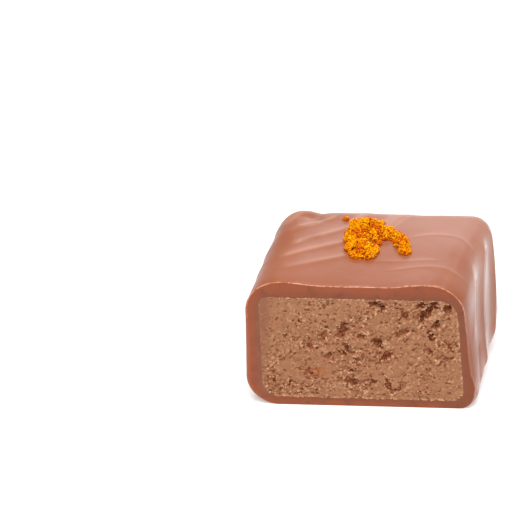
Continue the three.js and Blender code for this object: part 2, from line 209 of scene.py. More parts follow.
# Both walls and the corners' radii at depths y, blended evenly from the cut to the far end.
def wallsAt(y):
    share = np.clip(y / body["depth"], 0, 1)[:, None]
    left = mix(np.array(body["cutLeft"]), np.array(body["farLeft"]), share)
    right = mix(np.array(body["cutRight"]), np.array(body["farRight"]), share)
    radii = mix(np.array(body["cutRadii"]), np.array(body["farRadii"]), share)
    return left, right, radii


# How far points are beyond a ripple's line, which is bowed as a parabola, and how it fades at both ends.
def beyondRipple(ripple, p, q):
    (p0, q0), (p1, q1), bow = ripple[:3]
    length = math.hypot(p1 - p0, q1 - q0)
    alongP, alongQ = (p1 - p0) / length, (q1 - q0) / length
    share = ((p - p0) * alongP + (q - q0) * alongQ) / length
    sideways = (q - q0) * alongP - (p - p0) * alongQ - bow * 4 * share * (1 - share)
    return sideways, smooth(*rippleEnds[0], share) * (1 - smooth(*rippleEnds[1], share))


# A ridge for each ripple: it falls off exponentially to both sides of its line, over the near or the far
# width, with a rounded crest.
def rippleHeight(ripples, p, q):
    total = 0
    for ripple in ripples:
        rise, near, far, crest = ripple[3:]
        sideways, fade = beyondRipple(ripple, p, q)
        width = mix(near, far, smooth(-crest, crest, sideways))
        total = total + rise * fade * np.exp((crest - np.hypot(sideways, crest)) / width)
    return total


# The top dips between two shoulders, which lie further right at the far end.
def sagAt(x, y):
    share = y / body["depth"]
    near = x - body["sagDrift"] * share
    dip = smooth(*body["sagLeft"], near) * (1 - smooth(*body["sagRight"], near))
    return body["sagDepth"] * dip * mix(1, body["sagFarShare"], share)


# The right wall swells above its foot, as a bell over its levels: one at the cut and another behind it.
def flareAt(y, z):
    def swell(shape):
        out, level, spread = shape
        return out * bell((z - level) / spread)
    behind = swell(body["flareBehind"]) * bell(y / body["flareReach"])
    return mix(swell(body["flareAtCut"]), behind, smooth(0, body["flareWithin"], y))


# The right wall bulges: outwards quickly from the cut, then slowly back, and less near the foot.
def bulgeAt(y, z):
    out = 1 - np.exp(-y / body["bulgeRise"])
    return body["bulge"] * out * (1 - smooth(*body["bulgeBack"], y)) * smooth(*body["bulgeLevels"], z)


# The outside at depths y, moved in by inset: a ring of points for each row, with sag, flare, bulge and
# ripples, and how far each point faces upwards.
def outsideRings(y, inset):
    left, right, radii = wallsAt(y)
    moved = inset[:, None]
    radii = np.maximum(radii - moved, body["leastRadius"])
    ring = outlines(left + moved, right - moved, inset, body["height"] - inset, radii, coatingSteps)
    step = np.roll(ring, -1, axis=1) - np.roll(ring, 1, axis=1)
    facing = unit(np.stack([step[..., 1], -step[..., 0]], -1))
    x, z, depth = ring[..., 0], ring[..., 1], y[:, None]
    fade = (body["depth"] - body["rippleOut"], body["depth"] + body["rippleOut"])
    rippled = smooth(0, body["rippleIn"], depth) * (1 - smooth(*fade, depth))
    lift = rippleHeight(topRipples, x, depth) * rippled - sagAt(x, depth)
    push = rippleHeight(sideRipples, z, depth) * rippled + bulgeAt(depth, z)
    z = z + smooth(*body["facingUp"], facing[..., 1]) * lift
    x = x + smooth(*body["facingOut"], facing[..., 0]) * flareAt(depth, ring[..., 1])
    x = x + smooth(*body["facingRight"], facing[..., 0]) * push
    x = x - smooth(*body["facingRight"], -facing[..., 0]) * rippleHeight(leftRipples, z, depth) * rippled
    z = z - smooth(*body["facingUp"], facing[..., 1]) * body["rollOff"] * bell(depth / body["rollReach"])
    place = np.stack([x, np.broadcast_to(depth, x.shape), z], -1)
    uneven = body["dents"] * layered(place, body["dentSize"], 11, 2)
    uneven = uneven + body["dimples"] * layered(place, body["dimpleSize"], 12, 2)
    uneven = uneven * smooth(*body["flatFoot"], facing[..., 1])
    return leaned(x + facing[..., 0] * uneven, place[..., 1], z + facing[..., 1] * uneven), facing[..., 1]


# Depth y leans with the far end's tilt, about the middle.
def leaned(x, y, z):
    return np.stack([x, y - body["farTilt"] * (x - body["middle"]) * y / body["depth"], z], -1)


# The level of the top at x and y, without its dents.
def topAt(x, y):
    return body["height"] - sagAt(x, y) + rippleHeight(topRipples, x, y)


# Faces between rings in order, wound to face outwards for a path that comes from the far end to the cut.
def ringFaces(rows, count):
    ring, k = np.meshgrid(np.arange(rows - 1), np.arange(count), indexing="ij")
    nextK = (k + 1) % count
    corners = [ring * count + k, ring * count + nextK, (ring + 1) * count + nextK, (ring + 1) * count + k]
    return np.stack(corners, -1).reshape(-1, 4)


# A fan that closes a ring on one point.
def fanFaces(ringStart, count, point, flipped):
    k = ringStart + np.arange(count)
    nextK = ringStart + (np.arange(count) + 1) % count
    edge = (nextK, k) if flipped else (k, nextK)
    return np.stack([np.full(count, point), *edge], -1)


# Puts points and faces into a new mesh object that rides on the bonbon's body.
def makePiece(name, points, faceSets, material, nodes, values=None, rounded=True):
    faces = [face for faceSet in faceSets for face in faceSet.tolist()]
    mesh = bpy.data.meshes.new(name)
    mesh.from_pydata((points * mm).tolist(), [], faces)
    for key, value in (values or {}).items():
        mesh.attributes.new(key, "FLOAT", "POINT").data.foreach_set("value", value.astype(np.float32))
    mesh.polygons.foreach_set("use_smooth", np.full(len(faces), rounded))
    mesh.materials.append(material)
    mesh.update()
    piece = bpy.data.objects.new(name, mesh)
    bpy.context.scene.collection.objects.link(piece)
    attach(piece, "root")
    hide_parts(*nodes)
    triangles = sum(len(face) - 2 for face in faces)
    print(name, "has", triangles, "triangles")
    return piece


# An operator for Wire, which adds a Math node. Reflected, it has the wire as its second value.
def mathOn(operation, reflected=False):
    def apply(wire, other):
        pair = [other, wire] if reflected else [wire, other]
        return wire.paint.node("ShaderNodeMath", {"operation": operation}, pair)
    return apply


# A Wire is a node's output.
class Wire:
    def __init__(self, paint, socket):
        self.paint = paint
        self.socket = socket

    __add__, __radd__ = mathOn("ADD"), mathOn("ADD", True)
    __sub__, __rsub__ = mathOn("SUBTRACT"), mathOn("SUBTRACT", True)
    __mul__, __rmul__ = mathOn("MULTIPLY"), mathOn("MULTIPLY", True)


class Paint:
    def __init__(self, name, fixed):
        self.material = bpy.data.materials.new(name)
        self.material.use_nodes = True
        self.tree = self.material.node_tree
        self.shader = next(n for n in self.tree.nodes if n.type == "BSDF_PRINCIPLED")
        for key, value in fixed.items():
            self.shader.inputs[key].default_value = value
        self.place = self.node("ShaderNodeTexCoord", output="Object")

    # Adds a node: its settings first, then the values or links of its sockets.
    def node(self, kind, settings=None, inputs=None, output=0):
        made = self.tree.nodes.new(kind)
        for key, value in (settings or {}).items():
            if key == "stops":
                self.fillRamp(made.color_ramp, value)
            else:
                setattr(made, key, value)
        pairs = inputs.items() if isinstance(inputs, dict) else enumerate(inputs or [])
        for key, value in pairs:
            self.feed(made.inputs[key], value)
        return Wire(self, made.outputs[output])

    def fillRamp(self, ramp, stops):
        while len(ramp.elements) < len(stops):
            ramp.elements.new(0.5)
        for element, (position, colour) in zip(ramp.elements, stops):
            element.position = position
            element.color = colour

    def feed(self, socket, value):
        if isinstance(value, Wire):
            self.tree.links.new(value.socket, socket)
        else:
            socket.default_value = value

    def set(self, name, value):
        self.feed(self.shader.inputs[name], value)

    def attribute(self, name):
        return self.node("ShaderNodeAttribute", {"attribute_name": name}, output="Fac")

    def noise(self, size, detail=2.0, rough=0.5, distortion=0.0):
        values = {"Vector": self.place, "Scale": 1 / (size * mm), "Detail": detail, "Roughness": rough,
                  "Distortion": distortion}
        return self.node("ShaderNodeTexNoise", None, values)

    def blend(self, share, first, second):
        return self.node("ShaderNodeMix", {"data_type": "RGBA"}, {0: share, 6: first, 7: second}, 2)

    def ramp(self, value, *stops):
        return self.node("ShaderNodeValToRGB", {"stops": stops}, [value])

    def step(self, value, low, high):
        values = {0: value, 1: low, 2: high}
        return self.node("ShaderNodeMapRange", {"interpolation_type": "SMOOTHSTEP"}, values)

    def bump(self, height, distance, under=None):
        values = {"Height": height, "Distance": distance * mm}
        if under:
            values["Normal"] = under
        return self.node("ShaderNodeBump", None, values)


# A colour given as it looks on screen, 0 to 255, as the linear colour that nodes take.
def colour(red, green, blue):
    share = np.array([red, green, blue]) / 255
    linear = np.where(share <= 0.04045, share / 12.92, ((share + 0.055) / 1.055) ** 2.4)
    return (*linear.tolist(), 1.0)


# In the looks a noise is its size, detail, roughness and distortion, and a pair is the two ends of a step.
chocolateLook = {
    # Painted light among these colours: the milky one is painted sheen, and crest is a painted highlight on
    # ripple crests.
    "outside": colour(146, 78, 45), "pale": colour(150, 84, 53), "sheenColour": colour(163, 108, 88),
    "crest": colour(202, 157, 137),
    "cutOuter": colour(142, 73, 44), "cutInner": colour(124, 66, 42), "cutDark": colour(108, 58, 39),
    # The colour for the thin left edge is a painted orange glow of light through it, and edge is a painted
    # highlight on the cut's rim.
    "film": colour(132, 83, 61), "thin": colour(152, 76, 43), "edge": colour(216, 150, 116),
    "cloud": (5.5, 3), "palePatches": (0.35, 0.7), "crestHighlightPatches": (0.2, 0.6),
    "streaky": (1.6, 4, 0.6, 0.6), "darkStreaks": (0.45, 0.85),
    # broken breaks up the painted highlight on the rim.
    "broken": (0.5, 3, 0.7), "highlightBreaks": (0.35, 0.6),
    "satin": (2.2, 3), "satinSpread": 0.08, "outsideRoughness": 0.42, "cutRoughness": 0.6,
    "broad": (2.6, 2), "broadBump": 0.03, "fine": (0.35, 3, 0.6), "fineBump": 0.005,
    "fixed": {"Subsurface Weight": 0.15, "Subsurface Scale": 0.8 * mm, "IOR": 1.45, "Coat IOR": 1.45,
              "Subsurface Radius": (1.0, 0.42, 0.22), "Specular IOR Level": 0.3, "Coat Roughness": 0.16},
}


def chocolateMaterial():
    look = chocolateLook
    paint = Paint("milkChocolate", look["fixed"])
    cut = paint.attribute("cut")
    cloud = paint.noise(*look["cloud"])
    outside = paint.blend(paint.step(cloud, *look["palePatches"]), look["outside"], look["pale"])
    # Painted sheen towards the back and the right, and on the upper right wall.
    outside = paint.blend(paint.attribute("haze"), outside, look["sheenColour"])
    # Painted highlights on the ripples' crests, in patches.
    crestHighlights = paint.attribute("streak") * paint.step(cloud, *look["crestHighlightPatches"])
    outside = paint.blend(crestHighlights, outside, look["crest"])
    streaky = paint.noise(*look["streaky"])
    face = paint.blend(paint.attribute("inward"), look["cutOuter"], look["cutInner"])
    face = paint.blend(paint.step(streaky, *look["darkStreaks"]), face, look["cutDark"])
    face = paint.blend(paint.attribute("film"), face, look["film"])
    # A painted orange glow of light through the thin left edge of the cut.
    face = paint.blend(paint.attribute("thin"), face, look["thin"])
    base = paint.blend(cut, outside, face)
    # A painted highlight along the cut's rim, broken up by noise.
    broken = paint.step(paint.noise(*look["broken"]), *look["highlightBreaks"])
    paint.set("Base Color", paint.blend(paint.attribute("edge") * broken, base, look["edge"]))
    satin = look["outsideRoughness"] + paint.noise(*look["satin"]) * look["satinSpread"]
    paint.set("Roughness", satin * (1 - cut) + look["cutRoughness"] * cut)
    paint.set("Coat Weight", (1 - cut) * paint.attribute("gloss"))
    skin = paint.bump(paint.noise(*look["broad"]), look["broadBump"])
    paint.set("Normal", paint.bump(paint.noise(*look["fine"]), look["fineBump"], skin))
    return paint.material


pralineLook = {
    # The pale speck colour is partly pale grains and partly painted highlights.
    "smear": colour(145, 97, 66), "crumb": colour(162, 111, 79), "speck": colour(212, 166, 128),
    # low is painted shade in recesses, and deep is painted shade in pits, cracks and cavities.
    "low": colour(136, 80, 50), "deep": colour(134, 67, 33), "fleck": colour(156, 78, 34),
    "rosy": colour(150, 88, 66), "film": colour(134, 84, 62), "chip": colour(198, 156, 124),
    "fine": (0.14, 3, 0.65), "fineBump": 0.02,
    "fixed": {"Subsurface Weight": 0.1, "Subsurface Scale": 0.3 * mm, "Subsurface Radius": (1.0, 0.5, 0.3),
              "IOR": 1.42, "Specular IOR Level": 0.3, "Roughness": 0.7},
}


def pralineMaterial():
    look = pralineLook
    paint = Paint("praline", look["fixed"])
    base = paint.blend(paint.attribute("tone"), look["smear"], look["crumb"])
    # Among these, low is painted shade in recesses, and the pale specks are partly painted highlights.
    for key in ("rosy", "fleck", "low", "speck", "chip"):
        base = paint.blend(paint.attribute(key), base, look[key])
    # Painted shade in pits, cracks and cavities.
    base = paint.blend(paint.attribute("pit"), base, look["deep"])
    paint.set("Base Color", paint.blend(paint.attribute("film"), base, look["film"]))
    paint.set("Normal", paint.bump(paint.noise(*look["fine"]), look["fineBump"]))
    return paint.material


zestLook = {
    "shades": ((0.0, colour(150, 54, 1)), (0.25, colour(210, 96, 0)), (0.6, colour(236, 138, 0)),
               (1.0, colour(252, 184, 2))),
    # low is painted shade for crumbs low down and in the gaps between lumps.
    "low": colour(172, 66, 2),
    "mottle": (0.18, 2), "mottleShare": 0.5, "fine": (0.12, 2), "fineBump": 0.03,
    "fixed": {"Subsurface Weight": 0.3, "Subsurface Scale": 0.25 * mm, "Subsurface Radius": (1.0, 0.4, 0.05),
              "Roughness": 0.55, "IOR": 1.4, "Specular IOR Level": 0.1},
}


def zestMaterial():
    look = zestLook
    paint = Paint("candiedZest", look["fixed"])
    shade = paint.attribute("shade") + (paint.noise(*look["mottle"]) - 0.5) * look["mottleShare"]
    base = paint.ramp(shade, *look["shades"])
    paint.set("Base Color", paint.blend(paint.attribute("low"), base, look["low"]))
    paint.set("Normal", paint.bump(paint.noise(*look["fine"]), look["fineBump"]))
    return paint.material


cutEdge = {
    "radius": 0.1, "leftRadius": 0.5, "leftWithin": (4.5, 0.6), "leftBelow": (16.5, 10.0),
    "behind": 0.06, "clearOfLip": 1.05,  # one ring just behind the lip, and the last one before it
    "burr": 0.05, "burrAbove": (13.5, 16.0), "burrSize": 0.8, "burrPatches": (-0.2, 0.6),
    "waves": 0.035, "waveSize": 2.4, "innerRadius": 0.05, "foldShare": 0.7,
}
fillingShape = {
    "leftWall": (2.2, 1.5), "rightWall": (1.25, 0.85), "foot": 1.2, "head": 2.2, "farWall": 1.7,
    "radii": (2.2, 1.4, 2.3, 1.0), "bevel": 0.8,
}
# Where the coating's finish changes. A pair is the two ends of a smooth step where no note says otherwise.
# A single number is an amount, or a size in mm.
coatingFinish = {
    "topFacing": (0.5, 0.95), "shoulderFacing": (0.0, 0.6),
    "filmReach": 0.7, "filmSize": 1.3, "filmLeft": (4.0, 2.2), "filmLeast": 0.15, "filmMost": 0.9,
    "rightBand": (23.5, 25.0), "rightFilmShare": 0.3, "rightInwardShare": 0.9,
    "inwardFrom": (0.2, 1.0), "inwardWander": 0.25, "inwardSize": 1.8,
    # The painted orange glow along the thin left edge, on the lip and on the face.
    "edgeGlowLipShare": 0.8, "edgeGlowFaceShare": 0.6, "edgeGlowReach": 0.7,
    # The painted highlight along the rim, stronger higher up.
    "rimHighlightUp": (9.0, 15.5), "rimHighlightLeast": 0.3, "rimHighlightMost": 0.85,
    # Painted sheen: it grows to the back and the right, is less on the left and off the top, weaker at the
    # front, and lies on the upper right wall.
    "sheenBack": (1.5, 17.0), "sheenRight": (6.0, 24.0), "leftSheen": 0.1, "sheenOffTop": 0.35,
    "frontUntil": (4.0, 7.0), "frontRight": (16.0, 22.0), "frontFrom": (0.3, 2.5), "frontSheen": 0.3,
    "upperWallSheenRight": (22.0, 25.5), "upperWallSheenUp": (7.5, 14.5), "upperWallSheenBack": (2.5, 8.0),
    "upperWallSheenShare": 0.9, "upperWallHighlightShare": 0.2,
    # a crest's rise where its painted highlight is full and how strong that painted highlight is, left and
    # right of the sag
    "crestRight": (12.0, 18.0), "crestRise": (0.12, 0.035), "crestHighlightShare": (0.4, 0.3),
    "topGloss": 0.45, "footGloss": 0.45, "footUp": (1.0, 10.0), "rightWall": (20.0, 25.0),
    "wallBand": (7.0, 4.0),  # its level and spread
    "wallBack": (5.0, 8.0), "wallBackShare": 0.6, "wallDull": 0.8,
    "rippleFrom": (-3.8, -1.52), "rippleUntil": (-0.3, 0.1), "rippleEnd": (20.0, 18.5), "rippleDull": 0.8,
    "cutWithin": (3.0, 0.3), "cutUp": (2.0, 5.0), "cutDull": 0.5,
    "leftWithin": (7.5, 5.0), "leftUp": (9.0, 14.0), "leftDull": 0.85,
}


# The filling's outline at depths y, moved in by spare.
def fillingRings(y, spare, steps):
    shape = fillingShape
    left, right, _ = wallsAt(y)
    moved = spare[:, None]
    radii = np.broadcast_to(np.array(shape["radii"]), (len(y), 4))
    return outlines(
        left + np.array(shape["leftWall"]) + moved, right - np.array(shape["rightWall"]) - moved,
        shape["foot"] + spare, body["height"] - shape["head"] - spare, radii, steps)


# The outside's rings and finish: the far end, crowned as a parabola, then its round edge, a quarter circle,
# and the sides up to the lip.
def outsidePath():
    steps = coatingSteps
    edge, depth = body["farEdge"], body["depth"]
    turn = (1 - np.arange(steps["edge"]) / steps["edge"]) * math.pi / 2
    roundY = depth - edge * (1 - np.sin(turn))
    roundInset = edge * (1 - np.cos(turn))
    alongY = (depth - edge) * (1 - np.arange(steps["along"]) / steps["along"])
    alongY = np.append(alongY, cutEdge["leftRadius"] * cutEdge["clearOfLip"])
    alongY = np.sort(alongY[alongY > cutEdge["leftRadius"]])[::-1]
    sides, up = outsideRings(np.concatenate([roundY, alongY]), np.concatenate([roundInset, alongY * 0]))

    endRing = outsideRings(np.array([depth]), np.array([edge]))[0][0]
    share = (np.arange(steps["end"]) + 1)[:, None, None] / (steps["end"] + 1)
    cap = mix(endRing.mean(0), endRing, share) + np.array([0, body["farCrown"], 0]) * (1 - share ** 2)
    for part in (cap, sides):
        farness = smooth(depth - edge, depth - 0.2, part[..., 1])
        part[..., 1] += farness * rippleHeight(farRipples, part[..., 0], part[..., 2])
    facing = {"top": smooth(*coatingFinish["topFacing"], up),
              "shoulder": smooth(*coatingFinish["shoulderFacing"], up)}
    return (cap, {}), (sides, facing)


# The cut's rings and finish. The lip is a quarter circle, whose radius is larger on the left, with a burr
# along the top. The face is flat but for low waves, and folds in beside the filling. cut rises over the lip,
# film lies beside the filling, a painted orange glow lies along the thin left edge, inward grows towards the
# filling, and a painted highlight runs along the rim.
def cutPath():
    steps, finish = coatingSteps, coatingFinish
    rim, rimUp = outsideRings(np.zeros(1), np.zeros(1))
    rim = rim[0]
    inner = fillingRings(np.zeros(1), np.zeros(1), steps)[0]
    inner = np.stack([inner[:, 0], inner[:, 0] * 0, inner[:, 1]], -1)
    leftness = smooth(*cutEdge["leftWithin"], rim[:, 0]) * smooth(*cutEdge["leftBelow"], rim[:, 2])
    radius = mix(cutEdge["radius"], cutEdge["leftRadius"], leftness)
    angle = np.append(0, np.arange(steps["lip"] + 1) / steps["lip"])[:, None] * math.pi / 2
    lip = rim + unit(inner - rim) * (radius * (1 - np.cos(angle)))[..., None]
    lip[..., 1] = radius * (1 - np.sin(angle))
    lip[0, :, 1] += cutEdge["behind"]
    patches = smooth(*cutEdge["burrPatches"], layered(rim[:, [0, 2]], cutEdge["burrSize"], 5))
    lip[1:4, :, 2] += cutEdge["burr"] * patches * smooth(*cutEdge["burrAbove"], rim[:, 2])

    share = ((np.arange(steps["face"]) + 1) / steps["face"])[:, None]
    face = mix(lip[-1], inner, share[..., None])
    width = np.linalg.norm(inner - lip[-1], axis=-1) * (1 - share)
    around = face[..., [0, 2]]
    waves = cutEdge["waves"] * layered(around, cutEdge["waveSize"], 31) * np.sin(math.pi * share)
    fold = cutEdge["innerRadius"] * bell(width / (cutEdge["foldShare"] * cutEdge["innerRadius"]))
    face[..., 1] = waves + fold

    onLeft = smooth(*finish["filmLeft"], face[..., 0])
    onRight = smooth(*finish["rightBand"], face[..., 0])
    film = np.maximum(onLeft, finish["rightFilmShare"] * onRight)
    film = mix(finish["filmLeast"], finish["filmMost"], film)
    nearFilling = bell(width / finish["filmReach"]) * (0.6 + 0.5 * layered(around, finish["filmSize"], 41))
    fromRim = np.linalg.norm(face - rim, axis=-1)
    wander = finish["inwardWander"] * layered(around, finish["inwardSize"], 43)
    inward = smooth(*finish["inwardFrom"], share + wander)
    # The painted highlight along the rim, on the lip's middle rings, fading out on the left.
    edge = np.zeros(lip.shape[:2])
    edge[2:-1] = mix(finish["rimHighlightLeast"], finish["rimHighlightMost"], smooth(*finish["rimHighlightUp"], rim[:, 2]))
    lipFinish = {
        "cut": np.append(0, np.linspace(0, 1, len(lip) - 1))[:, None] ** 2, "edge": edge * (1 - leftness),
        "thin": leftness * finish["edgeGlowLipShare"], "top": smooth(*finish["topFacing"], rimUp),
    }
    faceFinish = {
        "cut": 1, "film": np.clip(nearFilling * film, 0, 1),
        "thin": leftness * bell(fromRim / finish["edgeGlowReach"]) * finish["edgeGlowFaceShare"],
        "inward": np.maximum(inward, finish["rightInwardShare"] * onRight),
    }
    return (lip, lipFinish), (face, faceFinish)


# The near slope of each ripple, where the coating is duller: a band before its line.
def nearSlopes(ripples, p, q):
    most = 0
    for ripple in ripples:
        sideways, fade = beyondRipple(ripple, p, q)
        band = smooth(*coatingFinish["rippleFrom"], sideways)
        band = band * (1 - smooth(*coatingFinish["rippleUntil"], sideways))
        most = np.maximum(most, fade * band)
    return most


# The outside's finish. A painted milky sheen grows to the back and the right, with a weaker one at the front
# and a painted sheen on the upper right wall. A painted highlight lies on the crest of a ripple, as the cube
# of its height. gloss is the coat's weight: less near the foot, across the right wall, on slopes, at the cut
# and on the left.
def outsideFinish(points, top, shoulder):
    finish = coatingFinish
    x, y, z = points.T
    haze = smooth(*finish["sheenBack"], y) * mix(finish["leftSheen"], 1.0, smooth(*finish["sheenRight"], x))
    front = mix(1 - smooth(*finish["frontUntil"], y), 1.0, smooth(*finish["frontRight"], x))
    haze = np.maximum(haze, finish["frontSheen"] * front * smooth(*finish["frontFrom"], y))
    haze = haze * mix(finish["sheenOffTop"], 1.0, shoulder)
    # Painted sheen on the upper right wall, behind the cut.
    upperWallSheen = smooth(*finish["upperWallSheenRight"], x) * smooth(*finish["upperWallSheenUp"], z)
    upperWallSheen = upperWallSheen * smooth(*finish["upperWallSheenBack"], y) * (1 - top)

    rightward = smooth(*finish["crestRight"], x)
    crest = np.clip(rippleHeight(topRipples, x, y) / mix(*finish["crestRise"], rightward), 0, 1) ** 3
    streak = crest * top * mix(*finish["crestHighlightShare"], rightward) + finish["upperWallHighlightShare"] * upperWallSheen

    onWall = smooth(*finish["rightWall"], x)
    level, spread = finish["wallBand"]
    wallBand = mix(1.0, finish["wallBackShare"], smooth(*finish["wallBack"], y)) * bell((z - level) / spread)
    low = mix(finish["footGloss"], 1.0, smooth(*finish["footUp"], z))
    low = mix(low, 1 - finish["wallDull"] * wallBand, onWall)
    dull = nearSlopes(sideRipples[2:], z, y) * onWall * smooth(*finish["rippleEnd"], y)
    atCut = smooth(*finish["cutWithin"], y) * finish["cutDull"] * smooth(*finish["cutUp"], z)
    dull = np.maximum(dull, atCut) * (1 - top)
    onLeft = smooth(*finish["leftWithin"], x) * smooth(*finish["leftUp"], z)
    gloss = mix(low, finish["topGloss"], top) * (1 - finish["rippleDull"] * dull)
    return {"haze": np.maximum(haze, finish["upperWallSheenShare"] * upperWallSheen), "streak": streak,
            "gloss": gloss * (1 - finish["leftDull"] * onLeft)}


# The shell as one path of rings: over the far end and its round edge, along to the cut, round the cut's
# edge, across the cut face to the filling, and down the hollow.
def coatingSurface():
    bevel = fillingShape["bevel"]
    hollowEnd = body["depth"] - fillingShape["farWall"]
    hollowY = np.array([0.5, 2.0, hollowEnd / 2, hollowEnd - bevel, hollowEnd])
    hollow = fillingRings(hollowY, np.array([0, 0, 0, 0, bevel]), coatingSteps)
    hollow = leaned(hollow[..., 0], np.broadcast_to(hollowY[:, None], hollow.shape[:2]), hollow[..., 1])

    parts = [*outsidePath(), *cutPath(), (hollow, {"cut": 1, "inward": 1})]
    rings = np.concatenate([part for part, _ in parts])
    rows, count = rings.shape[:2]
    points = np.concatenate([rings.reshape(-1, 3), [rings[0].mean(0), rings[-1].mean(0)]])
    faces = [ringFaces(rows, count), fanFaces(0, count, rows * count, True),
             fanFaces((rows - 1) * count, count, rows * count + 1, False)]

    values = {}
    for key in ("cut", "film", "thin", "inward", "edge", "top", "shoulder"):
        shares = [np.broadcast_to(finish.get(key, 0.0), part.shape[:2]).ravel() for part, finish in parts]
        values[key] = np.concatenate([*shares, np.zeros(2)])
    top, shoulder = values.pop("top"), values.pop("shoulder")
    values.update(outsideFinish(points, top, shoulder))
    return points, faces, values


# Cavities: place, half length and half width, how far it is turned in degrees, and depth.
cavities = [
    (22.1, 13.6, 1.8, 0.6, 57, 0.6), (16.3, 8.9, 0.95, 0.6, 116, 0.45), (11.9, 10.8, 1.15, 0.5, 71, 0.45),
    (24.3, 14.0, 0.8, 0.5, 36, 0.5), (13.3, 3.5, 0.95, 0.55, 173, 0.35), (17.0, 7.0, 1.2, 0.4, 51, 0.4),
    (17.7, 3.1, 1.3, 0.35, 110, 0.35), (12.3, 7.9, 0.9, 0.5, 63, 0.4), (22.5, 10.4, 1.2, 0.45, 117, 0.4),
    (21.2, 14.5, 0.7, 0.55, 0, 0.5), (14.1, 10.1, 0.7, 0.45, 19, 0.3), (13.6, 6.5, 0.75, 0.3, 41, 0.4),
    (23.2, 12.1, 0.9, 0.3, 78, 0.55), (16.6, 14.3, 0.6, 0.35, 114, 0.35), (15.6, 3.5, 0.65, 0.35, 161, 0.35),
    (24.9, 8.6, 0.8, 0.25, 111, 0.3), (15.5, 14.6, 0.65, 0.35, 169, 0.45), (9.6, 9.8, 0.95, 0.18, 84, 0.3),
    (19.4, 13.2, 0.5, 0.35, 80, 0.4), (22.6, 8.1, 0.7, 0.3, 112, 0.3), (8.0, 8.5, 0.5, 0.35, 37, 0.3),
    (24.6, 7.1, 0.85, 0.22, 14, 0.3), (19.3, 10.6, 0.85, 0.28, 17, 0.35), (13.0, 4.9, 0.5, 0.35, 128, 0.45),
    (10.4, 7.2, 0.45, 0.35, 50, 0.35), (8.1, 4.7, 0.55, 0.25, 163, 0.25), (5.6, 3.0, 0.55, 0.2, 65, 0.35),
    (9.9, 11.1, 0.35, 0.3, 116, 0.4), (5.0, 9.9, 0.4, 0.28, 125, 0.35), (19.0, 2.9, 0.7, 0.25, 34, 0.35),
    (6.6, 11.9, 0.45, 0.2, 138, 0.35), (3.5, 3.6, 0.6, 0.22, 80, 0.35), (3.4, 4.9, 0.25, 0.2, 0, 0.35),
]
fillingSteps = {"across": 400, "up": 226, "crowding": 0.09, "outline": (60, 60, 60, 60), "arc": 40}
crumb = {
    "warp": 0.26, "warpSize": 0.9,
    "cavityScale": 0.85, "cavityWander": 0.55, "cavityBorder": (1.2, 0.7), "cavityRelief": 0.7,
    "tornPatches": 0.8, "tornSize": 2.4, "tornByCavity": 1.4, "tornReach": 0.7, "tornFrom": (-0.2, 0.7),
    "grains": ((0.17, 91), (0.32, 94), (0.75, 97)),  # size and seed
    # for grains: where the knife smeared the cut, and where it is torn
    "missing": (0.06, 0.2), "domes": (0.06, 0.18), "contrast": (0.35, 0.55), "bright": (0.25, 1.0),
    "domeReach": 0.75, "cavityDomes": 0.3, "steps": 0.12, "missingDepth": 0.35,
    "pitSize": 0.55, "pitDepth": 0.2, "crackSize": 1.2, "crackDepth": 0.13, "crackWidth": 0.05,
    "swell": 0.03, "swellSize": 4.0, "tone": 0.35, "toneSpread": 0.15, "toneSize": 1.8,
}


# How deep the cavities are at points in x and z, from 0 at their borders, which wander.
def hollowAt(points):
    deepest = np.zeros(len(points))
    uneven = 1 + crumb["cavityWander"] * layered(points, 0.6, 145, 2)
    for x, z, long, wide, turned, deep in cavities:
        aside, up = ((points - np.array([x, z])) / crumb["cavityScale"]).T
        cosine, sine = math.cos(math.radians(turned)), math.sin(math.radians(turned))
        away = np.hypot((aside * cosine + up * sine) / long, (up * cosine - aside * sine) / wide) * uneven
        deepest = np.maximum(deepest, deep * smooth(*crumb["cavityBorder"], away))
    return deepest


# How torn the cut is, from 0 where the knife smeared it to 1: in patches, and round the cavities.
def tornAt(points):
    near = np.zeros(len(points))
    for x, z, long, _, _, deep in cavities:
        distance = np.hypot(points[:, 0] - x, points[:, 1] - z)
        near = np.maximum(near, crumb["tornByCavity"] * deep * bell(distance / (long + crumb["tornReach"])))
    patches = crumb["tornPatches"] * layered(points, crumb["tornSize"], 81, 3, 0.6)
    return smooth(*crumb["tornFrom"], patches + near)


# Spots of their own colour: place, width, height and share.
fillingSpots = {
    "fleck": [(8.7, 4.9, 1.1, 0.7, 0.85)],
    "rosy": [(10.9, 6.4, 1.0, 0.9, 0.6), (22.2, 14.7, 0.8, 0.4, 0.7)],
    "chip": [(9.4, 14.9, 0.6, 0.3, 0.9), (23.5, 13.9, 0.45, 0.75, 0.6), (23.1, 12.9, 0.5, 0.4, 0.5)],
}
